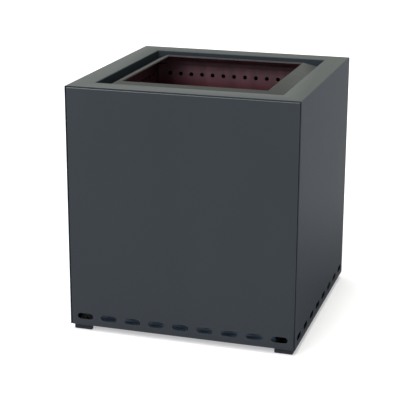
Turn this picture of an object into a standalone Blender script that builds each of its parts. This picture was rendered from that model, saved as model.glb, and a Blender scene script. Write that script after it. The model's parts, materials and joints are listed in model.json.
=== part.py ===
"""Square smokeless fire pit.

A square steel cabinet stands on four low feet round a perforated burn chamber. Air enters
through the slots near the ground. Some passes through the inlets under the chamber's floor to
the fire, and the rest rises between the two walls and comes out through the row of holes under
the mouth. The cabinet is one sheet folded over the left side, the top and the right side, with
its window folded down. A front and a rear tray and a base plate close it. A hipped collar lies
loose in the window, an ash pan hangs in the chamber floor, and a rod grate stands in the pan.

Lengths are in metres. +Z is up, the front faces -Y, and the origin is on the ground under the
middle of the cabinet.
"""

from math import atan, cos, hypot, pi, sin

import bmesh
import bpy

# Cabinet
BODY_SIDE = 0.380
OVERALL_HEIGHT = 0.410
FLANGE_WIDTH = 0.0375
WINDOW_FOLD_DEPTH = 0.022
SHELL_SHEET = 0.0012
SHELL_BEND = 0.0008
TRAY_RETURN = 0.008
SIDE_RETURN = 0.014
SEAM_GAP = 0.0008

# Air slots near the ground
SLOT_LENGTH = 0.027
SLOT_HEIGHT = 0.010
SLOT_RISE = 0.016
SLOT_MARGIN = 0.0115
FRONT_SLOT_PITCH = 0.041
SIDE_SLOT_PITCH = 0.047

# Burn chamber
CHAMBER_SHEET = 0.0015
CHAMBER_BEND = 0.0010
CHAMBER_FLANGE = 0.012
AIR_HOLE_PITCH = 0.020
AIR_HOLE_MARGIN = 0.020
AIR_HOLE_DIAMETER = 0.0075
AIR_HOLE_DROP = 0.0405
INLET_PITCH = 0.044
INLET_MARGIN = 0.040
INLET_DIAMETER = 0.010

# Chamber floor
FLOOR_LEVEL = 0.050
FLOOR_EDGE_DEPTH = 0.014
FLOOR_LIP_DEPTH = 0.008
FLOOR_HOLE_PITCH = 0.040
FLOOR_HOLE_MARGIN = 0.012
FLOOR_HOLE_DIAMETER = 0.014

# Collar in the window, and the gussets that it lies on
COLLAR_RUN = 0.0312
COLLAR_SHEET = 0.0015
COLLAR_BEND = 0.0004
COLLAR_PLAY = 0.0010
COLLAR_RIM_DROP = 0.0016
COLLAR_SLOPE_SHARE = 0.455
COLLAR_LIP_HEIGHT = 0.0025
GUSSET_LEG = 0.018
GUSSET_SHEET = 0.0015

# Ash pan
PAN_CLEARANCE = 0.0091
PAN_SHEET = 0.0012
PAN_BEND = 0.0020
PAN_MOUTH_CLEARANCE = 0.0063
PAN_RIM_WIDTH = 0.009
PAN_RIM_LIP = 0.005
PAN_TAPER = 0.005
PAN_PLAY = 0.002

# Fire grate
GRATE_ROD = 0.008
GRATE_BARS = 9
GRATE_BAR_INSET = 0.0088
GRATE_BAR_PLAY = 0.0038
GRATE_OVERHANG = 0.030
GRATE_RISE = 0.060
GRATE_LEG_INSET = 0.006
GRATE_BEND = 0.004

# Feet, with the screws and brackets that hold them
FOOT_SIDE = 0.030
FOOT_HEIGHT = 0.009
FOOT_INSET = 0.005
FOOT_WALL = 0.007
FOOT_PAD = 0.003
FOOT_CHAMFER = 0.0008
SCREW_DIAMETER = 0.005
SCREW_LENGTH = 0.0125
SCREW_HEAD_DIAMETER = 0.0095
SCREW_HEAD_HEIGHT = 0.0028
NUT_ACROSS_FLATS = 0.008
NUT_HEIGHT = 0.004
BRACKET_LENGTH = 0.045
BRACKET_HEIGHT = 0.008
BRACKET_SHEET = 0.0015
BRACKET_BEND = 0.0010

# Rivets of the burn chamber
RIVET_DIAMETER = 0.004
RIVET_HEAD_DIAMETER = 0.008
RIVET_HEAD_HEIGHT = 0.0016
RIVET_RISE_SHARES = (0.22, 0.78)
HEAD_DOME_SHARES = ((0.45, 1.00), (0.85, 0.62), (1.00, 0.00))

# Fits and fineness
FIT_GAP = 0.0003
CUT_OVERRUN = 0.005
BEND_STEPS = 3
HOLE_SIDES = 12
SLOT_END_STEPS = 6
ROD_SIDES = 12
FASTENER_SIDES = 10
NUT_SIDES = 12
SMOOTH_ANGLE = 2 * pi / 9
LEVEL_TOLERANCE = 0.0001

# Each finish: colour, roughness and metallic share
FINISHES = {
    "shell_paint": ((0.055, 0.063, 0.073), 0.45, 0.3),
    "collar_paint": ((0.095, 0.102, 0.098), 0.45, 0.3),
    "chamber_steel": ((0.085, 0.028, 0.032), 0.50, 0.6),
    "dark_steel": ((0.050, 0.050, 0.052), 0.55, 0.7),
    "foot_plastic": ((0.030, 0.031, 0.034), 0.70, 0.0),
    "black_zinc": ((0.090, 0.090, 0.095), 0.40, 1.0),
}

# Places that follow from the sizes above
HALF = BODY_SIDE / 2
SHELL_INSIDE = HALF - SHELL_SHEET
WINDOW_HALF = HALF - FLANGE_WIDTH
CHAMBER_INSIDE = WINDOW_HALF + SHELL_SHEET + FIT_GAP
CHAMBER_OUTSIDE = CHAMBER_INSIDE + CHAMBER_SHEET
CHAMBER_REACH = CHAMBER_OUTSIDE + CHAMBER_FLANGE
CHAMBER_BOTTOM = FOOT_HEIGHT + SHELL_SHEET + FIT_GAP
CHAMBER_TOP = OVERALL_HEIGHT - SHELL_SHEET - SHELL_BEND - FIT_GAP
CHAMBER_HEIGHT = CHAMBER_TOP - CHAMBER_BOTTOM
AIR_HOLE_LEVEL = OVERALL_HEIGHT - AIR_HOLE_DROP
INLET_LEVEL = (CHAMBER_BOTTOM + FLOOR_LEVEL - FLOOR_EDGE_DEPTH) / 2
SLOT_LEVEL = FOOT_HEIGHT + SLOT_RISE
GUSSET_TOP = OVERALL_HEIGHT - WINDOW_FOLD_DEPTH - FIT_GAP
COLLAR_SEAT = GUSSET_TOP + FIT_GAP
COLLAR_HALF = WINDOW_HALF - COLLAR_PLAY
MOUTH_HALF = COLLAR_HALF - COLLAR_RUN
PAN_RIM_HALF = MOUTH_HALF - PAN_MOUTH_CLEARANCE
PAN_WALL_HALF = PAN_RIM_HALF - PAN_RIM_WIDTH
PAN_INSIDE_HALF = PAN_WALL_HALF - PAN_SHEET
PAN_BOTTOM = FOOT_HEIGHT + SHELL_SHEET + PAN_CLEARANCE
PAN_DEPTH = FLOOR_LEVEL + FIT_GAP + PAN_RIM_LIP - PAN_BOTTOM
FLOOR_OPENING_HALF = PAN_WALL_HALF + PAN_PLAY
GRATE_BOTTOM = PAN_BOTTOM + PAN_SHEET + FIT_GAP
GRATE_LEG_HALF = PAN_INSIDE_HALF - PAN_TAPER - GRATE_LEG_INSET - GRATE_ROD / 2
GRATE_BAR_HALF = PAN_INSIDE_HALF - GRATE_BAR_PLAY
FOOT_CENTRE = HALF - FOOT_INSET - FOOT_SIDE / 2
FOOT_TOP = FOOT_HEIGHT - FIT_GAP
FOOT_POCKET_TOP = FOOT_TOP - FOOT_PAD
BRACKET_BOTTOM = FOOT_HEIGHT + SHELL_SHEET + FIT_GAP
BRACKET_TOP = BRACKET_BOTTOM + BRACKET_SHEET
RIVET_CENTRE = CHAMBER_INSIDE - FIT_GAP / 2
RIVET_GRIP = CHAMBER_SHEET + FIT_GAP + CHAMBER_SHEET

CORNERS = {
    "front_left": (-1, -1),
    "front_right": (1, -1),
    "rear_left": (-1, 1),
    "rear_right": (1, 1),
}
RING = ((-1, -1), (1, -1), (1, 1), (-1, 1))


# Objects and materials

def clear_scene():
    for item in list(bpy.data.objects):
        bpy.data.objects.remove(item, do_unlink=True)


def make_material(name, colour, roughness, metallic):
    material = bpy.data.materials.new(name)
    material.use_nodes = True
    shader = material.node_tree.nodes["Principled BSDF"]
    shader.inputs["Base Color"].default_value = (*colour, 1.0)
    shader.inputs["Roughness"].default_value = roughness
    shader.inputs["Metallic"].default_value = metallic
    material.diffuse_color = (*colour, 1.0)
    return material


def close_mesh(name, bm):
    """Turn a closed bmesh into a mesh whose faces point out."""
    bmesh.ops.recalc_face_normals(bm, faces=bm.faces)
    mesh = bpy.data.meshes.new(name)
    bm.to_mesh(mesh)
    bm.free()
    return mesh


def add_object(name, mesh, location=(0, 0, 0), turn=0):
    item = bpy.data.objects.new(name, mesh)
    item.location = location
    item.rotation_euler = (0, 0, turn)
    bpy.context.collection.objects.link(item)
    return item


def add_piece(name, bm, material, location=(0, 0, 0)):
    mesh = close_mesh(name, bm)
    mesh.materials.append(material)
    mesh.shade_smooth()
    mesh.set_sharp_from_angle(angle=SMOOTH_ANGLE)
    return add_object(name, mesh, location)


def add_cutter(name, bm):
    """A guide solid that only cuts, and isn't a piece of the object."""
    cutter = add_object(name, close_mesh(name, bm))
    cutter.hide_render = True
    cutter.display_type = "WIRE"
    return cutter


def apply_boolean(item, tool):
    modifier = item.modifiers.new(tool.name, "BOOLEAN")
    modifier.operation = "DIFFERENCE"
    modifier.solver = "EXACT"
    modifier.object = tool


# Outlines in a plane

def unit(start, end):
    length = hypot(end[0] - start[0], end[1] - start[1])
    return ((end[0] - start[0]) / length, (end[1] - start[1]) / length)


def offset_path(path, distance):
    """Move an open path to its left, with mitred corners."""
    last = len(path) - 1
    moved = []
    for index, point in enumerate(path):
        come = unit(path[max(index - 1, 0)], path[max(index, 1)])
        leave = unit(path[min(index, last - 1)], path[min(index + 1, last)])
        reach = distance / (1 + come[0] * leave[0] + come[1] * leave[1])
        moved.append((point[0] - (come[1] + leave[1]) * reach,
                      point[1] + (come[0] + leave[0]) * reach))
    return moved


def round_corner(before, corner, after, radius):
    """Points of the arc that rounds one corner of a path."""
    come = unit(before, corner)
    leave = unit(corner, after)
    side = 1 if come[0] * leave[1] > come[1] * leave[0] else -1
    bisector = (come[0] + leave[0], come[1] + leave[1])
    slope = hypot(come[0] - leave[0], come[1] - leave[1]) / hypot(*bisector)
    start = (corner[0] - come[0] * radius * slope, corner[1] - come[1] * radius * slope)
    spoke = (come[1] * side * radius, -come[0] * side * radius)
    centre = (start[0] - spoke[0], start[1] - spoke[1])
    points = []
    for step in range(BEND_STEPS + 1):
        angle = 2 * side * atan(slope) * step / BEND_STEPS
        points.append((centre[0] + spoke[0] * cos(angle) - spoke[1] * sin(angle),
                       centre[1] + spoke[0] * sin(angle) + spoke[1] * cos(angle)))
    return points


def round_path(path, radius):
    points = [path[0]]
    for before, corner, after in zip(path, path[1:], path[2:]):
        points += round_corner(before, corner, after, radius)
    return points + [path[-1]]


def folded_sheet(path, sheet, bend, on_left):
    """Both faces of a sheet that is folded along a path and lies on one side of it.

    bend is the radius inside each fold. The two faces have equally many points.
    """
    other = offset_path(path, sheet if on_left else -sheet)
    face = [path[0]]
    back = [other[0]]
    for index in range(1, len(path) - 1):
        come = unit(path[index - 1], path[index])
        leave = unit(path[index], path[index + 1])
        turns_left = come[0] * leave[1] > come[1] * leave[0]
        face_bend = bend + sheet if turns_left == on_left else bend
        back_bend = bend if turns_left == on_left else bend + sheet
        face += round_corner(path[index - 1], path[index], path[index + 1], face_bend)
        back += round_corner(other[index - 1], other[index], other[index + 1], back_bend)
    face.append(path[-1])
    back.append(other[-1])
    return face, back


def circle(diameter, sides):
    turns = [2 * pi * (step + 0.5) / sides for step in range(sides)]
    return [(diameter / 2 * cos(turn), diameter / 2 * sin(turn)) for turn in turns]


def obround(length, height):
    points = []
    for side in (1, -1):
        for step in range(SLOT_END_STEPS + 1):
            angle = pi * step / SLOT_END_STEPS - pi / 2
            points.append((side * (length - height) / 2 + side * height / 2 * cos(angle),
                           side * height / 2 * sin(angle)))
    return points


def hexagon(across_flats, sides):
    """A hexagon with as many points as a round bore, so that the two can be joined."""
    points = []
    for step in range(sides):
        turn = 2 * pi * step / sides
        from_flat = (turn + pi / 6) % (pi / 3) - pi / 6
        radius = across_flats / 2 / cos(from_flat)
        points.append((radius * cos(turn), radius * sin(turn)))
    return points


def row(length, pitch):
    """Centred places, as many as fit on a length from the first to the last."""
    steps = int(length / pitch)
    return [(index - steps / 2) * pitch for index in range(steps + 1)]


def spaced(length, count):
    """Centred places, with a length between the first and the last."""
    return [length * (index / (count - 1) - 0.5) for index in range(count)]


# Solids from outlines

def lying(x, y, level):
    return (x, y, level)


def facing_front(x, y, level):
    return (x, level, y)


def facing_side(x, y, level):
    return (level, x, y)


def loft(bm, rings):
    """Quads between rings of equally many points."""
    for one, two in zip(rings, rings[1:]):
        for index in range(len(one)):
            after = (index + 1) % len(one)
            bm.faces.new((one[index], one[after], two[after], two[index]))


def rectangle(bm, half_x, half_y, point, place):
    out, level = point
    return [bm.verts.new(place(side_x * (half_x + out), side_y * (half_y + out), level))
            for side_x, side_y in RING]


def folded_frame(bm, faces):
    """A folded sheet carried round a square, open in the middle."""
    face, back = faces
    rings = [rectangle(bm, 0, 0, point, lying) for point in face + back[::-1]]
    loft(bm, rings + rings[:1])


def folded_tray(bm, faces, half_x=0, half_y=0, place=lying):
    """A folded sheet carried round a rectangle, closed in the middle.

    The first point of each face only gives the direction in which the middle lies.
    """
    face, back = faces
    rings = [rectangle(bm, half_x, half_y, point, place) for point in face[1:] + back[:0:-1]]
    loft(bm, rings)
    bm.faces.new(rings[0])
    bm.faces.new(rings[-1])


def folded_bar(bm, faces, start, end, place):
    """A folded sheet drawn straight from start to end."""
    face, back = faces
    ends = []
    for level in (start, end):
        ends.append([bm.verts.new(place(x, y, level)) for x, y in face + back[::-1]])
    loft(bm, ends)
    for ring in ends:
        for index in range(len(face) - 1):
            bm.faces.new((ring[index], ring[index + 1], ring[-index - 2], ring[-index - 1]))


def prism(bm, outline, centre, start, end, place):
    rings = []
    for level in (start, end):
        rings.append([bm.verts.new(place(centre[0] + x, centre[1] + y, level)) for x, y in outline])
    loft(bm, rings)
    bm.faces.new(rings[0])
    bm.faces.new(rings[1])


def turned(bm, profile, place):
    """A round solid from (radius, level) points along its axis."""
    rings = []
    for radius, level in profile:
        points = circle(2 * radius, FASTENER_SIDES)
        rings.append([bm.verts.new(place(x, y, level)) for x, y in points])
    loft(bm, rings)
    bm.faces.new(rings[0])
    bm.faces.new(rings[-1])


def rod(bm, path):
    """A round rod along a path in the upright plane."""
    rings = [[] for _ in path]
    for x, y in circle(GRATE_ROD, ROD_SIDES):
        for ring, (along, level) in zip(rings, offset_path(path, y)):
            ring.append(bm.verts.new((along, x, level)))
    loft(bm, rings)
    bm.faces.new(rings[0])
    bm.faces.new(rings[-1])


def block(bm, low, high):
    outline = [(low[0], low[1]), (high[0], low[1]), (high[0], high[1]), (low[0], high[1])]
    prism(bm, outline, (0, 0), low[2], high[2], lying)


# Cutters

def slot_cutter(name, pitch, place):
    """Air slots through both opposite walls of the cabinet."""
    bm = bmesh.new()
    reach = HALF + CUT_OVERRUN
    for across in row(BODY_SIDE - 2 * SLOT_MARGIN - SLOT_LENGTH, pitch):
        prism(bm, obround(SLOT_LENGTH, SLOT_HEIGHT), (across, SLOT_LEVEL), -reach, reach, place)
    return add_cutter(name, bm)


def notch_cutter():
    """Takes the side returns away where the trays' own returns lie."""
    bm = bmesh.new()
    bend_top = FOOT_HEIGHT + SHELL_SHEET + SHELL_BEND + FIT_GAP
    inner = HALF - SIDE_RETURN - CUT_OVERRUN
    start = HALF - TRAY_RETURN - FIT_GAP
    for side_x, side_y in RING:
        xs = sorted((side_x * inner, side_x * SHELL_INSIDE))
        ys = sorted((side_y * start, side_y * (HALF + CUT_OVERRUN)))
        block(bm, (xs[0], ys[0], FOOT_HEIGHT - CUT_OVERRUN), (xs[1], ys[1], bend_top))
    return add_cutter("return_notches", bm)


def air_hole_cutter(name, place):
    """Holes under the mouth and inlets under the floor, through both opposite walls."""
    bm = bmesh.new()
    reach = CHAMBER_OUTSIDE + CUT_OVERRUN
    for across in row(2 * (CHAMBER_INSIDE - AIR_HOLE_MARGIN), AIR_HOLE_PITCH):
        outline = circle(AIR_HOLE_DIAMETER, HOLE_SIDES)
        prism(bm, outline, (across, AIR_HOLE_LEVEL), -reach, reach, place)
    for across in row(2 * (CHAMBER_INSIDE - INLET_MARGIN), INLET_PITCH):
        outline = circle(INLET_DIAMETER, HOLE_SIDES)
        prism(bm, outline, (across, INLET_LEVEL), -reach, reach, place)
    return add_cutter(name, bm)


def rivet_places():
    """Names, places and directions of the rivets through the chamber's walls."""
    flange_middle = CHAMBER_OUTSIDE + CHAMBER_FLANGE / 2
    floor_rise = FLOOR_LEVEL - FLOOR_EDGE_DEPTH / 2
    for corner, (side_x, side_y) in CORNERS.items():
        for end, share in zip(("lower", "upper"), RIVET_RISE_SHARES):
            centre = (side_y * flange_middle, CHAMBER_BOTTOM + CHAMBER_HEIGHT * share)
            yield f"corner_rivet_{corner}_{end}", centre, side_x * RIVET_CENTRE, facing_side
    for name, side in (("left", -1), ("right", 1)):
        yield f"floor_rivet_{name}", (0, floor_rise), side * RIVET_CENTRE, facing_side
    for name, side in (("front", -1), ("rear", 1)):
        yield f"floor_rivet_{name}", (0, floor_rise), side * RIVET_CENTRE, facing_front


def rivet_cutter():
    bm = bmesh.new()
    outline = circle(RIVET_DIAMETER + 2 * FIT_GAP, FASTENER_SIDES)
    for _, centre, level, place in rivet_places():
        prism(bm, outline, centre, level - CUT_OVERRUN, level + CUT_OVERRUN, place)
    return add_cutter("rivet_bores", bm)


def floor_hole_cutter():
    """Primary air holes between the pan's rim and the chamber's walls."""
    bm = bmesh.new()
    ring_half = (PAN_RIM_HALF + CHAMBER_INSIDE) / 2
    outline = circle(FLOOR_HOLE_DIAMETER, HOLE_SIDES)
    bottom = FLOOR_LEVEL - CHAMBER_SHEET - CUT_OVERRUN
    for along in row(2 * (PAN_RIM_HALF - FLOOR_HOLE_MARGIN), FLOOR_HOLE_PITCH):
        for side in (-1, 1):
            prism(bm, outline, (along, side * ring_half), bottom, FLOOR_LEVEL + CUT_OVERRUN, lying)
            prism(bm, outline, (side * ring_half, along), bottom, FLOOR_LEVEL + CUT_OVERRUN, lying)
    return add_cutter("floor_hole_bores", bm)


def foot_screw_cutter():
    """Bores through the feet, the base plate and the brackets."""
    bm = bmesh.new()
    outline = circle(SCREW_DIAMETER + 2 * FIT_GAP, FASTENER_SIDES)
    for side_x, side_y in RING:
        centre = (side_x * FOOT_CENTRE, side_y * FOOT_CENTRE)
        prism(bm, outline, centre, -CUT_OVERRUN, BRACKET_TOP + CUT_OVERRUN, lying)
    return add_cutter("foot_screw_bores", bm)


def foot_pocket_cutter():
    """Leaves each foot a pad on top and a wall along its two outer sides."""
    bm = bmesh.new()
    inner = FOOT_CENTRE - FOOT_SIDE / 2 - CUT_OVERRUN
    outer = FOOT_CENTRE + FOOT_SIDE / 2 - FOOT_WALL
    for side_x, side_y in RING:
        xs = sorted((side_x * inner, side_x * outer))
        ys = sorted((side_y * inner, side_y * outer))
        block(bm, (xs[0], ys[0], -CUT_OVERRUN), (xs[1], ys[1], FOOT_POCKET_TOP))
    return add_cutter("foot_pockets", bm)


# Cabinet

def make_outer_wrap(material, cutters):
    """One sheet over the left side, the top and the right side, with a folded window."""
    path = [(-HALF + SIDE_RETURN, FOOT_HEIGHT), (-HALF, FOOT_HEIGHT), (-HALF, OVERALL_HEIGHT),
            (HALF, OVERALL_HEIGHT), (HALF, FOOT_HEIGHT), (HALF - SIDE_RETURN, FOOT_HEIGHT)]
    bm = bmesh.new()
    folded_bar(bm, folded_sheet(path, SHELL_SHEET, SHELL_BEND, False), -HALF, HALF, facing_front)
    loops = []
    for level in (OVERALL_HEIGHT, OVERALL_HEIGHT - SHELL_SHEET):
        panel = next(face for face in bm.faces
                     if all(abs(vert.co.z - level) < LEVEL_TOLERANCE for vert in face.verts))
        loops.append([next(vert for vert in panel.verts
                           if vert.co.x * side_x > 0 and vert.co.y * side_y > 0)
                      for side_x, side_y in RING])
        bmesh.ops.delete(bm, geom=[panel], context="FACES_ONLY")
    window = [(HALF, OVERALL_HEIGHT), (WINDOW_HALF, OVERALL_HEIGHT),
              (WINDOW_HALF, OVERALL_HEIGHT - WINDOW_FOLD_DEPTH)]
    face, back = folded_sheet(window, SHELL_SHEET, SHELL_BEND, True)
    rings = [rectangle(bm, 0, 0, point, lying) for point in face[1:] + back[:0:-1]]
    loft(bm, [loops[0]] + rings + [loops[1]])
    wrap = add_piece("outer_wrap", bm, material)
    for cutter in cutters:
        apply_boolean(wrap, cutter)


def make_tray_panels(material, cutter):
    """Front and rear trays, set between the sides and under the top flange."""
    half_width = SHELL_INSIDE - SEAM_GAP
    top = OVERALL_HEIGHT - SHELL_SHEET - SEAM_GAP
    half_height = (top - FOOT_HEIGHT) / 2
    path = [(-TRAY_RETURN, 0), (0, 0), (0, TRAY_RETURN)]
    faces = folded_sheet(path, SHELL_SHEET, SHELL_BEND, True)
    bm = bmesh.new()
    folded_tray(bm, faces, half_width, half_height, facing_front)
    location = (0, -HALF, FOOT_HEIGHT + half_height)
    front = add_piece("front_panel", bm, material, location)
    rear = add_object("rear_panel", front.data, (0, HALF, location[2]), pi)
    apply_boolean(front, cutter)
    apply_boolean(rear, cutter)


def make_base_plate(material, cutter):
    """Plate between the bottom returns, which the chamber stands on."""
    half_x = HALF - SIDE_RETURN - FIT_GAP
    half_y = HALF - TRAY_RETURN - FIT_GAP
    bm = bmesh.new()
    block(bm, (-half_x, -half_y, FOOT_HEIGHT), (half_x, half_y, FOOT_HEIGHT + SHELL_SHEET))
    plate = add_piece("base_plate", bm, material)
    apply_boolean(plate, cutter)


# Burn chamber

def make_end_walls(material, cutters):
    """Front and rear walls of the chamber, whose flanges lie inside the side walls."""
    half_width = CHAMBER_INSIDE - FIT_GAP
    path = [(-half_width, -CHAMBER_REACH), (-half_width, -CHAMBER_INSIDE),
            (half_width, -CHAMBER_INSIDE), (half_width, -CHAMBER_REACH)]
    faces = folded_sheet(path, CHAMBER_SHEET, CHAMBER_BEND, False)
    bm = bmesh.new()
    folded_bar(bm, faces, CHAMBER_BOTTOM, CHAMBER_TOP, lying)
    front = add_piece("chamber_front_wall", bm, material)
    rear = add_object("chamber_rear_wall", front.data, turn=pi)
    for cutter in cutters:
        apply_boolean(front, cutter)
        apply_boolean(rear, cutter)


def make_side_walls(material, cutters):
    """Flat side walls of the chamber, long enough to be riveted to the end walls."""
    bm = bmesh.new()
    block(bm, (CHAMBER_INSIDE, -CHAMBER_REACH, CHAMBER_BOTTOM),
          (CHAMBER_OUTSIDE, CHAMBER_REACH, CHAMBER_TOP))
    right = add_piece("chamber_right_wall", bm, material)
    left = add_object("chamber_left_wall", right.data, turn=pi)
    for cutter in cutters:
        apply_boolean(right, cutter)
        apply_boolean(left, cutter)


def make_chamber_floor(material, cutters):
    """Floor plate with its edges folded down and a lipped opening for the pan."""
    outside = CHAMBER_INSIDE - FIT_GAP
    path = [(outside, FLOOR_LEVEL - FLOOR_EDGE_DEPTH), (outside, FLOOR_LEVEL),
            (FLOOR_OPENING_HALF, FLOOR_LEVEL), (FLOOR_OPENING_HALF, FLOOR_LEVEL - FLOOR_LIP_DEPTH)]
    bm = bmesh.new()
    folded_frame(bm, folded_sheet(path, CHAMBER_SHEET, CHAMBER_BEND, True))
    floor = add_piece("chamber_floor", bm, material)
    for cutter in cutters:
        apply_boolean(floor, cutter)


def make_rivets(material):
    grip_end = RIVET_GRIP / 2 + FIT_GAP
    radius = RIVET_HEAD_DIAMETER / 2
    head = [(radius * out, grip_end + RIVET_HEAD_HEIGHT * rise) for out, rise in HEAD_DOME_SHARES]
    upper = head + [(RIVET_DIAMETER / 2, grip_end)]
    lower = [(out, -level) for out, level in reversed(upper)]
    for name, centre, level, place in rivet_places():
        bm = bmesh.new()
        turned(bm, upper + lower, place)
        add_piece(name, bm, material, place(centre[0], centre[1], level))


def make_gussets(material):
    """Corner gussets under the window's fold, which the collar lies on."""
    outer = CHAMBER_INSIDE - FIT_GAP
    inner = outer - GUSSET_LEG
    for corner, (side_x, side_y) in CORNERS.items():
        outline = [(side_x * outer, side_y * outer), (side_x * inner, side_y * outer),
                   (side_x * outer, side_y * inner)]
        bm = bmesh.new()
        prism(bm, outline, (0, 0), GUSSET_TOP - GUSSET_SHEET, GUSSET_TOP, lying)
        add_piece(f"collar_gusset_{corner}", bm, material)


# Pieces that lift out

def make_collar(material):
    """Hipped collar: a lip round the mouth, four slopes and a skirt on the gussets.

    The rim's fold is rounded, so its sharp corner lies a little above the rim.
    """
    rim = OVERALL_HEIGHT - COLLAR_RIM_DROP - COLLAR_SEAT
    rounding = COLLAR_SLOPE_SHARE + hypot(1, COLLAR_SLOPE_SHARE) - 1
    corner = rim + (COLLAR_BEND + COLLAR_SHEET) * rounding
    foot = corner - COLLAR_SLOPE_SHARE * COLLAR_RUN
    path = [(MOUTH_HALF, rim - COLLAR_LIP_HEIGHT), (MOUTH_HALF, corner),
            (COLLAR_HALF, foot), (COLLAR_HALF, 0)]
    bm = bmesh.new()
    folded_frame(bm, folded_sheet(path, COLLAR_SHEET, COLLAR_BEND, False))
    add_piece("mouth_collar", bm, material, (0, 0, COLLAR_SEAT))


def make_ash_pan(material):
    """Tapered tray whose turned-down rim hangs on the chamber floor."""
    path = [(0, PAN_SHEET), (PAN_INSIDE_HALF - PAN_TAPER, PAN_SHEET), (PAN_INSIDE_HALF, PAN_DEPTH),
            (PAN_RIM_HALF, PAN_DEPTH), (PAN_RIM_HALF, PAN_DEPTH - PAN_RIM_LIP)]
    bm = bmesh.new()
    folded_tray(bm, folded_sheet(path, PAN_SHEET, PAN_BEND, False))
    add_piece("ash_pan", bm, material, (0, 0, PAN_BOTTOM))


def make_grate_frames(material):
    """Two bent rods that stand in the pan and carry the bars."""
    frame_level = GRATE_RISE - GRATE_ROD / 2
    path = [(-GRATE_LEG_HALF, 0), (-GRATE_LEG_HALF, frame_level),
            (GRATE_LEG_HALF, frame_level), (GRATE_LEG_HALF, 0)]
    for name, side in (("front", -1), ("rear", 1)):
        bm = bmesh.new()
        rod(bm, round_path(path, GRATE_BEND + GRATE_ROD / 2))
        location = (0, side * (GRATE_BAR_HALF - GRATE_OVERHANG), GRATE_BOTTOM)
        add_piece(f"grate_frame_{name}", bm, material, location)


def make_grate_bars(material):
    """Straight rods laid across the two frames."""
    bar_level = GRATE_BOTTOM + GRATE_RISE + FIT_GAP + GRATE_ROD / 2
    for index, along in enumerate(spaced(2 * (GRATE_LEG_HALF - GRATE_BAR_INSET), GRATE_BARS)):
        bm = bmesh.new()
        outline = circle(GRATE_ROD, ROD_SIDES)
        prism(bm, outline, (0, 0), -GRATE_BAR_HALF, GRATE_BAR_HALF, facing_front)
        add_piece(f"grate_bar_{index + 1}", bm, material, (along, 0, bar_level))


# Feet

def make_feet(material, cutters):
    """Corner feet with a chamfered sole, under the base plate."""
    half = FOOT_SIDE / 2
    profile = [(half - FOOT_CHAMFER, 0), (half, FOOT_CHAMFER), (half, FOOT_TOP)]
    for corner, (side_x, side_y) in CORNERS.items():
        bm = bmesh.new()
        rings = [rectangle(bm, 0, 0, point, lying) for point in profile]
        loft(bm, rings)
        bm.faces.new(rings[0])
        bm.faces.new(rings[-1])
        centre = (side_x * FOOT_CENTRE, side_y * FOOT_CENTRE, 0)
        foot = add_piece(f"foot_{corner}", bm, material, centre)
        for cutter in cutters:
            apply_boolean(foot, cutter)


def make_brackets(material, screw_cutter):
    """Channels across the air gap that tie chamber, side and foot together."""
    outer = SHELL_INSIDE - FIT_GAP
    inner = CHAMBER_OUTSIDE + FIT_GAP
    half_width = (outer - inner) / 2
    path = [(-half_width, BRACKET_HEIGHT), (-half_width, 0),
            (half_width, 0), (half_width, BRACKET_HEIGHT)]
    end = HALF - TRAY_RETURN - FIT_GAP
    bm = bmesh.new()
    folded_bar(bm, folded_sheet(path, BRACKET_SHEET, BRACKET_BEND, True),
               -BRACKET_LENGTH / 2, BRACKET_LENGTH / 2, facing_front)
    mesh = close_mesh("corner_bracket", bm)
    mesh.materials.append(material)
    for corner, (side_x, side_y) in CORNERS.items():
        centre = (side_x * (outer + inner) / 2, side_y * (end - BRACKET_LENGTH / 2), BRACKET_BOTTOM)
        bracket = add_object(f"corner_bracket_{corner}", mesh, centre)
        apply_boolean(bracket, screw_cutter)


def make_foot_screws(material):
    """Domed screws up through the feet and the brackets."""
    head_top = FOOT_POCKET_TOP - FIT_GAP
    radius = SCREW_HEAD_DIAMETER / 2
    head = [(radius * out, head_top - SCREW_HEAD_HEIGHT * rise) for out, rise in HEAD_DOME_SHARES]
    shank = [(SCREW_DIAMETER / 2, head_top), (SCREW_DIAMETER / 2, head_top + SCREW_LENGTH)]
    for corner, (side_x, side_y) in CORNERS.items():
        bm = bmesh.new()
        turned(bm, head + shank, lying)
        centre = (side_x * FOOT_CENTRE, side_y * FOOT_CENTRE, 0)
        add_piece(f"foot_screw_{corner}", bm, material, centre)


def make_foot_nuts(material):
    """Hexagon nuts on the brackets."""
    flats = hexagon(NUT_ACROSS_FLATS, NUT_SIDES)
    bore = circle(SCREW_DIAMETER + 2 * FIT_GAP, NUT_SIDES)
    for corner, (side_x, side_y) in CORNERS.items():
        bm = bmesh.new()
        rings = []
        for outline, level in ((flats, 0), (flats, NUT_HEIGHT), (bore, NUT_HEIGHT), (bore, 0)):
            rings.append([bm.verts.new((x, y, level)) for x, y in outline])
        loft(bm, rings + rings[:1])
        centre = (side_x * FOOT_CENTRE, side_y * FOOT_CENTRE, BRACKET_TOP + FIT_GAP)
        add_piece(f"foot_nut_{corner}", bm, material, centre)


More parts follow.
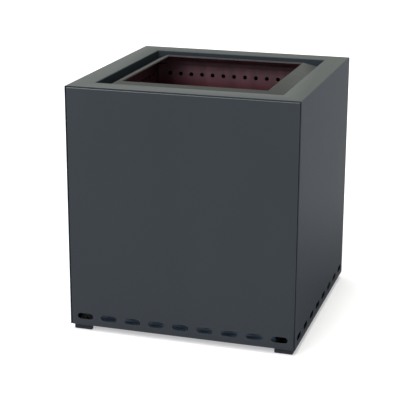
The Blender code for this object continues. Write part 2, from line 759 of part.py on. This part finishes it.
def main():
    clear_scene()
    finish = {name: make_material(name, *look) for name, look in FINISHES.items()}
    rivets = rivet_cutter()
    screws = foot_screw_cutter()
    side_slots = slot_cutter("side_slots", SIDE_SLOT_PITCH, facing_side)
    front_slots = slot_cutter("front_slots", FRONT_SLOT_PITCH, facing_front)
    make_outer_wrap(finish["shell_paint"], [side_slots, notch_cutter()])
    make_tray_panels(finish["shell_paint"], front_slots)
    make_base_plate(finish["shell_paint"], screws)
    make_end_walls(finish["chamber_steel"], [air_hole_cutter("end_air_holes", facing_front), rivets])
    make_side_walls(finish["chamber_steel"], [air_hole_cutter("side_air_holes", facing_side), rivets])
    make_chamber_floor(finish["chamber_steel"], [floor_hole_cutter(), rivets])
    make_rivets(finish["black_zinc"])
    make_gussets(finish["dark_steel"])
    make_collar(finish["collar_paint"])
    make_ash_pan(finish["dark_steel"])
    make_grate_frames(finish["dark_steel"])
    make_grate_bars(finish["dark_steel"])
    make_feet(finish["foot_plastic"], [foot_pocket_cutter(), screws])
    make_brackets(finish["dark_steel"], screws)
    make_foot_screws(finish["black_zinc"])
    make_foot_nuts(finish["black_zinc"])


main()
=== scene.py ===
import json
from math import cos, pi, radians, sin

import bmesh
import bpy
from mathutils import Matrix, Vector

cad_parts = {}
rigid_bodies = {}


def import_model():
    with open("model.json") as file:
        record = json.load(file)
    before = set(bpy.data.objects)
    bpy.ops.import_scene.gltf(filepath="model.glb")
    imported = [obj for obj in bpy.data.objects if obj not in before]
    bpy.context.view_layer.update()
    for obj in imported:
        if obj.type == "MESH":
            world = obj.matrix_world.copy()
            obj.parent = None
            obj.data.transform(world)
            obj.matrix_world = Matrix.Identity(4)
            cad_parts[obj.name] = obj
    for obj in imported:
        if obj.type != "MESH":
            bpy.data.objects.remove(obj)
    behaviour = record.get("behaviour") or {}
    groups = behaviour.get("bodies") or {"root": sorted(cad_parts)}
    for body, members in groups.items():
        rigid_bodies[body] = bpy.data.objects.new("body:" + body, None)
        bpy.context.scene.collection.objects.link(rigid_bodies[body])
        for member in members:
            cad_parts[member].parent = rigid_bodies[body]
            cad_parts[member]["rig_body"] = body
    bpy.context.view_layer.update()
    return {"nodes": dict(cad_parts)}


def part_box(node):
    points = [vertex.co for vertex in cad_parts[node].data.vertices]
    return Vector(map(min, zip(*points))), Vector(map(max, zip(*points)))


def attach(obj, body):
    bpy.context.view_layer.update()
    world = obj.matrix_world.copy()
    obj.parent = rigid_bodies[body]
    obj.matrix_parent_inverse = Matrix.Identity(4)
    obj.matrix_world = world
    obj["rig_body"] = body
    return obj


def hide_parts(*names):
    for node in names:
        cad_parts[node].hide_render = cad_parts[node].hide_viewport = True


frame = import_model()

# Lengths are in metres, but in millimetres inside the camera. Colours are linear.

# Camera at the photograph's angle
CAMERA_PLACE = (0.58263, -1.98124, 0.81076)
CAMERA_AZIMUTH = radians(17.065)
CAMERA_ELEVATION = radians(16.847)
CAMERA_ROLL = radians(0.195)
CAMERA_LENS = 113.44
CAMERA_SENSOR = 36

# Values of a noise between which nearly all of its surface lies
NOISE_LOW = 0.3
NOISE_HIGH = 0.7

# Painted highlight on each bend of the powder coat, strongest where the bend looks up: the ranges
# of the normal's widest part, of its rise and of the height over which it grows, and its share on a
# bend that looks sideways
BEND_NORMAL = (0.995, 0.90)
BEND_RISE = (0.0, 0.35)
BEND_HEIGHT = (0.035, 0.050)
BEND_SIDEWAYS = 0.15

# Rise of the normal over which the powder coat's painted top light, a lighter and warmer tone,
# comes in
TOP_RISE = (0.4, 0.9)

# Change of the powder coat's roughness, as a share of its relief
GLOSS_SWING = 0.2

# Chamber coat, and the heights between which it changes to the band round the row of air holes, a
# heat tint with painted light in it
CHAMBER_DARK = (0.112, 0.033, 0.044)
CHAMBER_LIGHT = (0.142, 0.042, 0.056)
CHAMBER_STREAK = (0.020, 0.012, 0.014)
CHAMBER_BAND = (0.352, 0.374)

# Flecks of the steel's scale: how much brighter they are than its light colour
FLECK_GAIN = 1.35

# Edges of the finer copies
MERGE_DISTANCE = 0.000001
FLAT_ANGLE = radians(0.5)
SHARP_ANGLE = radians(40)
BEVEL_ANGLE = radians(42)
BEVEL_SEGMENTS = 2
SHELL_EDGE = 0.0003
INNER_EDGE = 0.0002
FOOT_EDGE = 0.0005
FASTENER_EDGE = 0.0001

# Faces with a second coat, which on the window's fold is painted shade: how much they look out or
# in, how much they look up at most or at least, and the height of the lower edge of the window's
# fold
FACING = 0.3
INNER_MAX_RISE = 0.1
FOLD_MAX_RISE = 0.5
FOLD_BOTTOM = 0.385
TOP_MIN_RISE = 0.9

# Grate
ROD_RADIUS = 0.004
ROD_SIDES = 24
ROD_END_INSET = 0.0006
ROD_END_SIZE = 0.82
ROD_BEND_RADIUS = 0.008
ROD_BEND_STEPS = 8
WELD_RADIUS = 0.0024
WELD_ASIDE = 0.0021
WELD_ABOVE = 0.0001
WELD_SHAPE = (0.75, 1.25, 0.55, 1)

# Studio: light from the world on the object, as a share of the white that is seen
WORLD_FILL = 0.20

# White floor
FLOOR_REACH = 12.0
FLOOR_DROP = 0.0002
FLOOR_DARK = (0.65, 0.65, 0.70)
FLOOR_LIGHT = (0.68, 0.68, 0.73)
FLOOR_SPECULAR = 0.1
FLOOR_GLOW = 0.45

# Sheet of painted shade on the floor to the right of the pit, seen only in reflections: its
# corners, and its density at the two ends of its fade
SHADE_SHEET_LOW = (0.192, -0.45)
SHADE_SHEET_HIGH = (6.0, 6.0)
SHADE_SHEET_RISE = 0.0001
SHADE_SHEET_DARK = (0.015, 0.015, 0.015)
SHADE_SHEET_LIGHT = (0.025, 0.025, 0.025)
SHADE_SHEET_FADE = (0.05, 0.85)
SHADE_SHEET_DENSITY = (0.73, 0.34)


# Nodes of the materials

def add_node(tree, kind, inputs=None, **settings):
    node = tree.nodes.new(kind)
    for name, value in settings.items():
        setattr(node, name, value)
    for name, value in (inputs or {}).items():
        if isinstance(value, bpy.types.NodeSocket):
            tree.links.new(value, node.inputs[name])
        else:
            node.inputs[name].default_value = value
    return node


def coordinates(tree, kind):
    return add_node(tree, "ShaderNodeTexCoord").outputs[kind]


def part_of(tree, vector, axis):
    return add_node(tree, "ShaderNodeSeparateXYZ", {0: vector}).outputs[axis]


def calculate(tree, operation, one, two):
    return add_node(tree, "ShaderNodeMath", {0: one, 1: two}, operation=operation).outputs[0]


def ramp(tree, value, start, end, low=0.0, high=1.0, **settings):
    """From low to high while the value goes from start to end, and steady beyond them."""
    return add_node(tree, "ShaderNodeMapRange", {
        "Value": value, "From Min": start, "From Max": end, "To Min": low, "To Max": high},
        **settings).outputs[0]


def noise(tree, scale, detail=3.0, roughness=0.55, stretch=None):
    """Noise in the object's own coordinates. Its patches are about 1 / scale metres wide."""
    place = coordinates(tree, "Object")
    if stretch:
        place = add_node(tree, "ShaderNodeMapping", {"Vector": place, "Scale": stretch}).outputs[0]
    return add_node(tree, "ShaderNodeTexNoise", {
        "Vector": place, "Scale": scale, "Detail": detail, "Roughness": roughness}).outputs["Fac"]


def spread(tree, value, low, high):
    """Stretch the middle of a noise over a range."""
    return ramp(tree, value, NOISE_LOW, NOISE_HIGH, low, high)


def mix_colours(tree, share, one, two):
    mixed = add_node(tree, "ShaderNodeMix", data_type="RGBA")
    for index, value in ((0, share), (6, one), (7, two)):
        if isinstance(value, bpy.types.NodeSocket):
            tree.links.new(value, mixed.inputs[index])
        else:
            mixed.inputs[index].default_value = (*value, 1.0)
    return mixed.outputs[2]


def mottled(tree, pattern, dark, light):
    """From dark to light over the whole range of a noise."""
    return mix_colours(tree, spread(tree, pattern, 0, 1), dark, light)


def new_material(name):
    material = bpy.data.materials.new(name)
    material.use_nodes = True
    tree = material.node_tree
    return material, tree, tree.nodes["Principled BSDF"]


def finish_material(tree, shader, colour, roughness, height, depth, strength):
    bump = add_node(tree, "ShaderNodeBump", {
        "Height": height, "Distance": depth, "Strength": strength})
    tree.links.new(colour, shader.inputs["Base Color"])
    tree.links.new(roughness, shader.inputs["Roughness"])
    tree.links.new(bump.outputs[0], shader.inputs["Normal"])


def mix_surfaces(tree, share, one, two):
    """Let the material show a mix of two shaders."""
    mixed = add_node(tree, "ShaderNodeMixShader", {0: share, 1: one, 2: two}).outputs[0]
    tree.links.new(mixed, tree.nodes["Material Output"].inputs["Surface"])


# Materials

def painted_bend_highlight(tree):
    """Share of painted highlight on a face that is part of a bend above the slots, most where the
    bend looks up.
    """
    normal = coordinates(tree, "Normal")
    size = add_node(tree, "ShaderNodeVectorMath", {0: normal}, operation="ABSOLUTE").outputs[0]
    level = calculate(tree, "MAXIMUM", part_of(tree, size, "X"), part_of(tree, size, "Y"))
    widest = calculate(tree, "MAXIMUM", level, part_of(tree, size, "Z"))
    bend = ramp(tree, widest, *BEND_NORMAL)
    look = ramp(tree, part_of(tree, normal, "Z"), *BEND_RISE, low=BEND_SIDEWAYS)
    paler = calculate(tree, "MULTIPLY", bend, look)
    above = ramp(tree, part_of(tree, coordinates(tree, "Object"), "Z"), *BEND_HEIGHT)
    return calculate(tree, "MULTIPLY", paler, above)


def painted_top_light_share(tree):
    """Share of painted top light: 1 on faces that look up, 0 on upright ones."""
    return ramp(tree, part_of(tree, coordinates(tree, "Normal"), "Z"), *TOP_RISE)


def powder_coat(name, dark, light, roughness, specular, relief=0.15, bend_highlight=None, top=None):
    """Cloudy, finely speckled satin coat. It can have a painted highlight on each bend, and painted
    top light, a lighter and warmer tone, on faces that look up.
    """
    material, tree, shader = new_material(name)
    clouds = noise(tree, scale=7, detail=4, roughness=0.5, stretch=(1, 1, 0.45))
    speckle = noise(tree, scale=1400, detail=2)
    colour = mix_colours(tree, spread(tree, clouds, 0.1, 0.9), dark, light)
    colour = mix_colours(tree, spread(tree, speckle, 0.0, 0.3), colour, light)
    # Painted highlight on each bend, strongest where it looks up
    if bend_highlight:
        colour = mix_colours(tree, painted_bend_highlight(tree), colour, bend_highlight)
    # Painted top light: a lighter, warmer tone on faces that look up
    if top:
        colour = mix_colours(tree, painted_top_light_share(tree), colour, mix_colours(tree, clouds, *top))
    swing = GLOSS_SWING * relief
    gloss = spread(tree, noise(tree, scale=90, detail=3), roughness - swing, roughness + swing)
    peel = noise(tree, scale=650, detail=2)
    finish_material(tree, shader, colour, gloss, peel, depth=0.00003, strength=relief)
    shader.inputs["Specular IOR Level"].default_value = specular
    return material


def bare_steel(name, dark, light):
    """Uncoated steel, as the cabinet's hidden sheets are left on the side of the air gap."""
    material, tree, shader = new_material(name)
    colour = mottled(tree, noise(tree, scale=30, detail=5, roughness=0.6), dark, light)
    gloss = spread(tree, noise(tree, scale=200, detail=3), 0.42, 0.55)
    grain = noise(tree, scale=500, detail=3)
    finish_material(tree, shader, colour, gloss, grain, depth=0.00005, strength=0.3)
    return material


def chamber_coat(name, hole_band_tint_and_light):
    """Dark maroon heat coat, with a band round the row of air holes: a heat tint, lightened by
    painted light on most walls and darkened by painted shade on the left wall.
    """
    material, tree, shader = new_material(name)
    band = ramp(tree, part_of(tree, coordinates(tree, "Object"), "Z"), *CHAMBER_BAND)
    maroon = mottled(tree, noise(tree, scale=16, detail=4), CHAMBER_DARK, CHAMBER_LIGHT)
    colour = mix_colours(tree, band, maroon, hole_band_tint_and_light)
    streaks = noise(tree, scale=60, detail=5, roughness=0.6, stretch=(1, 1, 0.15))
    colour = mix_colours(tree, spread(tree, streaks, 0, 0.35), colour, CHAMBER_STREAK)
    gloss = spread(tree, noise(tree, scale=120, detail=4), 0.30, 0.44)
    grain = noise(tree, scale=420, detail=3)
    finish_material(tree, shader, colour, gloss, grain, depth=0.00008, strength=0.4)
    return material


def scaled_steel(name, dark, light, specular):
    """Black heat coat over hot rolled steel, with a faint mottled scale."""
    material, tree, shader = new_material(name)
    scale = noise(tree, scale=700, detail=3)
    flecks = tuple(FLECK_GAIN * part for part in light)
    colour = mottled(tree, noise(tree, scale=55, detail=6, roughness=0.65), dark, light)
    colour = mix_colours(tree, spread(tree, scale, 0, 0.4), colour, flecks)
    gloss = spread(tree, noise(tree, scale=160, detail=4), 0.44, 0.62)
    finish_material(tree, shader, colour, gloss, scale, depth=0.00010, strength=0.5)
    shader.inputs["Specular IOR Level"].default_value = specular
    return material


def moulded_plastic(name, dark, light, specular):
    material, tree, shader = new_material(name)
    grain = noise(tree, scale=1900, detail=2)
    colour = mottled(tree, noise(tree, scale=40, detail=3), dark, light)
    gloss = spread(tree, grain, 0.52, 0.66)
    finish_material(tree, shader, colour, gloss, grain, depth=0.00008, strength=0.6)
    shader.inputs["Specular IOR Level"].default_value = specular
    return material


def plated_metal(name, dark, light):
    material, tree, shader = new_material(name)
    colour = mottled(tree, noise(tree, scale=240, detail=4), dark, light)
    gloss = spread(tree, noise(tree, scale=900, detail=3), 0.28, 0.42)
    grain = noise(tree, scale=1300, detail=2)
    finish_material(tree, shader, colour, gloss, grain, depth=0.00004, strength=0.5)
    shader.inputs["Metallic"].default_value = 1.0
    return material


def matt_fibre(name, dark, light):
    """Matt paper or cloth. Its nodes come with it, because the studio adds to them."""
    material, tree, shader = new_material(name)
    grain = noise(tree, scale=300, detail=3)
    gloss = spread(tree, grain, 0.85, 0.95)
    colour = mottled(tree, grain, dark, light)
    finish_material(tree, shader, colour, gloss, grain, depth=0.0001, strength=0.2)
    return material, tree, shader


# Finer copies of the CAD solids

def plain_copy(node):
    """The solid's faces as a bmesh, without its stored normals."""
    source = frame["nodes"][node].data
    mesh = bpy.data.meshes.new(node + "_faces")
    mesh.from_pydata([vert.co for vert in source.vertices], [],
                     [tuple(face.vertices) for face in source.polygons])
    bm = bmesh.new()
    bm.from_mesh(mesh)
    bpy.data.meshes.remove(mesh)
    bmesh.ops.remove_doubles(bm, verts=bm.verts, dist=MERGE_DISTANCE)
    bmesh.ops.dissolve_limit(bm, angle_limit=FLAT_ANGLE, verts=bm.verts, edges=bm.edges)
    return bm


def shade(bm):
    """Smooth faces, with the sharp edges kept sharp."""
    for face in bm.faces:
        face.smooth = True
    for edge in bm.edges:
        edge.smooth = len(edge.link_faces) == 2 and edge.calc_face_angle(pi) < SHARP_ANGLE


def add_object(name, bm, materials):
    """Put a bmesh into the scene, and free it."""
    mesh = bpy.data.meshes.new(name)
    bm.to_mesh(mesh)
    bm.free()
    for material in materials:
        mesh.materials.append(material)
    item = bpy.data.objects.new(name, mesh)
    bpy.context.scene.collection.objects.link(item)
    return item


def add_piece(node, bm, materials):
    """Put a bmesh into the scene as the piece that stands for a CAD node."""
    piece = add_object(node + "_finished", bm, materials)
    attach(piece, frame["nodes"][node]["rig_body"])
    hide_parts(node)
    return piece


def facing_out(face):
    """How much a face looks away from the upright middle line of the pit, from -1 to 1."""
    middle = face.calc_center_median()
    return face.normal.dot(Vector((middle.x, middle.y, 0)).normalized())


def is_inner_face(face):
    return facing_out(face) < -FACING and face.normal.z < INNER_MAX_RISE


def is_outer_face(face):
    return facing_out(face) > FACING


def is_window_fold(face):
    """The upright faces of the wrap's folded window, below its bend, which get painted shade."""
    high = face.calc_center_median().z > FOLD_BOTTOM
    return high and facing_out(face) < -FACING and face.normal.z < FOLD_MAX_RISE


def is_top_face(face):
    return face.normal.z > TOP_MIN_RISE


def dress(node, material, edge, second=None, is_second=None):
    """A copy of a solid with its sharp edges broken, which then stands for it."""
    bm = plain_copy(node)
    shade(bm)
    materials = [material]
    if second:
        materials.append(second)
        for face in bm.faces:
            face.material_index = int(is_second(face))
    bevel = add_piece(node, bm, materials).modifiers.new("broken_edges", "BEVEL")
    bevel.width = edge
    bevel.segments = BEVEL_SEGMENTS
    bevel.limit_method = "ANGLE"
    bevel.angle_limit = BEVEL_ANGLE
    bevel.harden_normals = True


# Grate

def rod_rings(bm, path):
    """A round rod along a path, with slightly rounded ends."""
    rings = []
    last = len(path) - 1
    for index, point in enumerate(path):
        along = (path[min(index + 1, last)] - path[max(index - 1, 0)]).normalized()
        side = Vector((0, 1, 0)) if abs(along.y) < 0.5 else Vector((1, 0, 0))
        up = along.cross(side).normalized()
        size = ROD_RADIUS * ROD_END_SIZE if index in (0, last) else ROD_RADIUS
        ring = []
        for step in range(ROD_SIDES):
            turn = 2 * pi * step / ROD_SIDES
            ring.append(bm.verts.new(point + (side * cos(turn) + up * sin(turn)) * size))
        rings.append(ring)
    for one, two in zip(rings, rings[1:]):
        for step in range(ROD_SIDES):
            after = (step + 1) % ROD_SIDES
            bm.faces.new((one[step], one[after], two[after], two[step]))
    bm.faces.new(rings[0])
    bm.faces.new(rings[-1])


def bent_path(corners):
    """A path with its square corners rounded."""
    radius = ROD_BEND_RADIUS
    points = [corners[0]]
    for before, corner, after in zip(corners, corners[1:], corners[2:]):
        come = (corner - before).normalized()
        leave = (after - corner).normalized()
        centre = corner - come * radius + leave * radius
        for step in range(ROD_BEND_STEPS + 1):
            turn = pi / 2 * step / ROD_BEND_STEPS
            points.append(centre - leave * radius * cos(turn) + come * radius * sin(turn))
    return points + [corners[-1]]


def ease_ends(path):
    """A path with one more point near each end, where the rod has its full size."""
    first = path[0] + (path[1] - path[0]).normalized() * ROD_END_INSET
    last = path[-1] + (path[-2] - path[-1]).normalized() * ROD_END_INSET
    return [path[0], first] + path[1:-1] + [last, path[-1]]


def add_rod(node, path, material):
    bm = bmesh.new()
    rod_rings(bm, ease_ends(path))
    bmesh.ops.recalc_face_normals(bm, faces=bm.faces)
    shade(bm)
    add_piece(node, bm, [material])


def make_bar(node, material):
    low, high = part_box(node)
    middle = (low + high) / 2
    path = [Vector((middle.x, low.y, middle.z)), Vector((middle.x, high.y, middle.z))]
    add_rod(node, path, material)


def make_bent_frame(node, material):
    low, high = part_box(node)
    across = (low.y + high.y) / 2
    left = low.x + ROD_RADIUS
    right = high.x - ROD_RADIUS
    top = high.z - ROD_RADIUS
    corners = [Vector((left, across, low.z)), Vector((left, across, top)),
               Vector((right, across, top)), Vector((right, across, low.z))]
    add_rod(node, bent_path(corners), material)


def make_welds(bars, frames, material):
    """A bead on each side of every bar, where it lies on a frame."""
    bm = bmesh.new()
    for node in frames:
        low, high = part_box(node)
        across = (low.y + high.y) / 2
        for bar in bars:
            along = (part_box(bar)[0].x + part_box(bar)[1].x) / 2
            for side in (-1, 1):
                place = Matrix.Translation((along + side * WELD_ASIDE, across, high.z + WELD_ABOVE))
                bmesh.ops.create_icosphere(bm, subdivisions=2, radius=WELD_RADIUS,
                                           matrix=place @ Matrix.Diagonal(WELD_SHAPE))
    shade(bm)
    piece = add_object("grate_welds", bm, [material])
    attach(piece, "grate")


def make_grate(material):
    bars = [node for node in frame["nodes"] if node.startswith("grate_bar_")]
    frames = [node for node in frame["nodes"] if node.startswith("grate_frame_")]
    for node in bars:
        make_bar(node, material)
    for node in frames:
        make_bent_frame(node, material)
    make_welds(bars, frames, material)


# Studio

def seen_directly(tree):
    """1 for camera, glossy and transmission rays, 0 for the rest."""
    rays = add_node(tree, "ShaderNodeLightPath").outputs
    either = calculate(tree, "MAXIMUM", rays["Is Camera Ray"], rays["Is Glossy Ray"])
    return calculate(tree, "MAXIMUM", either, rays["Is Transmission Ray"])


def make_world():
    world = bpy.data.worlds.new("studio")
    world.use_nodes = True
    tree = world.node_tree
    background = tree.nodes["Background"]
    background.inputs["Color"].default_value = (1, 1, 1, 1)
    strength = ramp(tree, seen_directly(tree), 0.0, 1.0, low=WORLD_FILL)
    tree.links.new(strength, background.inputs["Strength"])
    bpy.context.scene.world = world


def make_floor():
    """White paper, clear from below so that the pit's underside can be looked at."""
    material, tree, shader = matt_fibre("floor_paper", FLOOR_DARK, FLOOR_LIGHT)
    shader.inputs["Specular IOR Level"].default_value = FLOOR_SPECULAR
    shader.inputs["Emission Color"].default_value = (1, 1, 1, 1)
    glow = calculate(tree, "MULTIPLY", seen_directly(tree), FLOOR_GLOW)
    tree.links.new(glow, shader.inputs["Emission Strength"])
    below = add_node(tree, "ShaderNodeNewGeometry").outputs["Backfacing"]
    clear = add_node(tree, "ShaderNodeBsdfTransparent").outputs[0]
    mix_surfaces(tree, below, shader.outputs[0], clear)

    bm = bmesh.new()
    bmesh.ops.create_grid(bm, x_segments=2, y_segments=2, size=FLOOR_REACH)
    floor = add_object("studio_floor", bm, [material])
    floor.location.z = -FLOOR_DROP


def make_painted_reflection_shade():
    """Dark sheet on the floor to the right, thinner to the rear: painted shade that only
    reflections show.
    """
    material, tree, shader = matt_fibre("painted_reflection_shade", SHADE_SHEET_DARK, SHADE_SHEET_LIGHT)
    along = part_of(tree, coordinates(tree, "Object"), "Y")
    density = ramp(tree, along, *SHADE_SHEET_FADE, *SHADE_SHEET_DENSITY, interpolation_type="SMOOTHSTEP")
    clear = add_node(tree, "ShaderNodeBsdfTransparent").outputs[0]
    mix_surfaces(tree, density, clear, shader.outputs[0])

    bm = bmesh.new()
    (left, front), (right, rear) = SHADE_SHEET_LOW, SHADE_SHEET_HIGH
    corners = ((left, front), (right, front), (right, rear), (left, rear))
    bm.faces.new([bm.verts.new((x, y, 0)) for x, y in corners])
    shade_sheet = add_object("studio_painted_reflection_shade", bm, [material])
    shade_sheet.location.z = SHADE_SHEET_RISE
    shade_sheet.visible_camera = False
    shade_sheet.visible_diffuse = False
    shade_sheet.visible_shadow = False


def add_wide_lamp(name, azimuth, elevation, width, strength, colour=(1, 1, 1)):
    """Even light from one direction, as from a large diffuser far away."""
    lamp = bpy.data.lights.new(name, "SUN")
    lamp.energy = strength
    lamp.angle = width
    lamp.color = colour
    item = bpy.data.objects.new(name, lamp)
    level = cos(elevation)
    towards = Vector((sin(azimuth) * level, -cos(azimuth) * level, sin(elevation)))
    item.rotation_euler = towards.to_track_quat("Z", "Y").to_euler()
    bpy.context.scene.collection.objects.link(item)


def make_lamps():
    add_wide_lamp("front_diffuser", azimuth=radians(-24), elevation=radians(46),
                  width=radians(50), strength=2.05)
    add_wide_lamp("rear_fill", azimuth=radians(-122), elevation=radians(38),
                  width=radians(60), strength=0.6)
    add_wide_lamp("overhead_diffuser", azimuth=0, elevation=radians(89),
                  width=radians(24), strength=2.2, colour=(1.0, 1.0, 0.84))


def make_camera():
    data = bpy.data.cameras.new("photo_camera")
    data.sensor_width = CAMERA_SENSOR
    data.lens = CAMERA_LENS
    camera = bpy.data.objects.new("photo_camera", data)
    heading = Matrix.Rotation(CAMERA_AZIMUTH, 4, "Z")
    tilt = Matrix.Rotation(pi / 2 - CAMERA_ELEVATION, 4, "X")
    roll = Matrix.Rotation(CAMERA_ROLL, 4, "Z")
    camera.matrix_world = Matrix.Translation(CAMERA_PLACE) @ (heading @ tilt) @ roll
    bpy.context.scene.collection.objects.link(camera)
    bpy.context.scene.camera = camera


def make_pit():
    shell = powder_coat(
        "shell_coat", dark=(0.034, 0.040, 0.049), light=(0.038, 0.045, 0.054),
        # The panels' coat, with a painted highlight on each bend
        roughness=0.40, specular=0.10, bend_highlight=(0.195, 0.210, 0.215))
    # Same paint as the panels' coat, painted lighter and bluer for the light on the sides and top
    wrap = powder_coat(
        "wrap_coat", dark=(0.038, 0.049, 0.065), light=(0.044, 0.056, 0.073),
        roughness=0.38, specular=0.027, relief=0.04,
        # Painted top light on faces that look up
        top=((0.051, 0.059, 0.058), (0.058, 0.067, 0.066)))
    # Darker, duller copy of the wrap's coat on the window's fold: painted shade
    fold = powder_coat(
        "fold_coat_painted_shade", dark=(0.033, 0.042, 0.052), light=(0.038, 0.048, 0.059),
        roughness=0.60, specular=0.0, relief=0.04)
    collar = powder_coat(
        "collar_coat", dark=(0.046, 0.050, 0.048), light=(0.053, 0.057, 0.055),
        roughness=0.42, specular=0.015)
    # Band round the air holes: heat tint, lightened as painted light
    chamber = chamber_coat("chamber_coat", hole_band_tint_and_light=(0.260, 0.145, 0.175))
    # Left wall: its band round the air holes darkened as painted shade
    shaded_chamber = chamber_coat("shaded_chamber_coat", hole_band_tint_and_light=(0.075, 0.024, 0.032))
    steel = scaled_steel(
        "scaled_steel", dark=(0.026, 0.026, 0.028), light=(0.052, 0.050, 0.049), specular=0.5)
    # Darker copy of the scaled steel for the brackets and gussets: painted shade
    painted_shade_bracket_steel = scaled_steel(
        "bracket_steel_painted_shade", dark=(0.011, 0.012, 0.014), light=(0.020, 0.021, 0.024), specular=0.1)
    plastic = moulded_plastic(
        "moulded_plastic", dark=(0.020, 0.023, 0.027), light=(0.028, 0.032, 0.036), specular=0.15)
    black_zinc = plated_metal(
        "black_zinc", dark=(0.070, 0.070, 0.074), light=(0.110, 0.110, 0.116))
    bare = bare_steel("aluminised_steel", dark=(0.58, 0.73, 0.90), light=(0.66, 0.80, 0.95))
    galvanised = bare_steel("galvanised_steel", dark=(0.21, 0.31, 0.44), light=(0.27, 0.37, 0.50))

    dress("outer_wrap", wrap, SHELL_EDGE, fold, is_window_fold)
    for node in ("front_panel", "rear_panel"):
        dress(node, shell, SHELL_EDGE)
    dress("base_plate", shell, SHELL_EDGE, galvanised, is_top_face)
    dress("mouth_collar", collar, SHELL_EDGE, chamber, is_inner_face)
    for node in ("chamber_front_wall", "chamber_rear_wall"):
        dress(node, chamber, INNER_EDGE, bare, is_outer_face)
    # Painted shade on the left wall
    dress("chamber_left_wall", shaded_chamber, INNER_EDGE)
    dress("chamber_right_wall", chamber, INNER_EDGE)
    dress("chamber_floor", chamber, INNER_EDGE)
    dress("ash_pan", steel, INNER_EDGE)
    for node in frame["nodes"]:
        if node.startswith(("collar_gusset_", "corner_bracket_")):
            dress(node, painted_shade_bracket_steel, INNER_EDGE)
        elif node.startswith(("foot_front", "foot_rear")):
            dress(node, plastic, FOOT_EDGE)
        elif node.startswith(("foot_screw_", "foot_nut_", "corner_rivet_", "floor_rivet_")):
            dress(node, black_zinc, FASTENER_EDGE)
    make_grate(steel)


def make_studio():
    make_world()
    make_floor()
    make_painted_reflection_shade()
    make_lamps()
    make_camera()
    bpy.context.scene.view_settings.view_transform = "Standard"


make_pit()
make_studio()
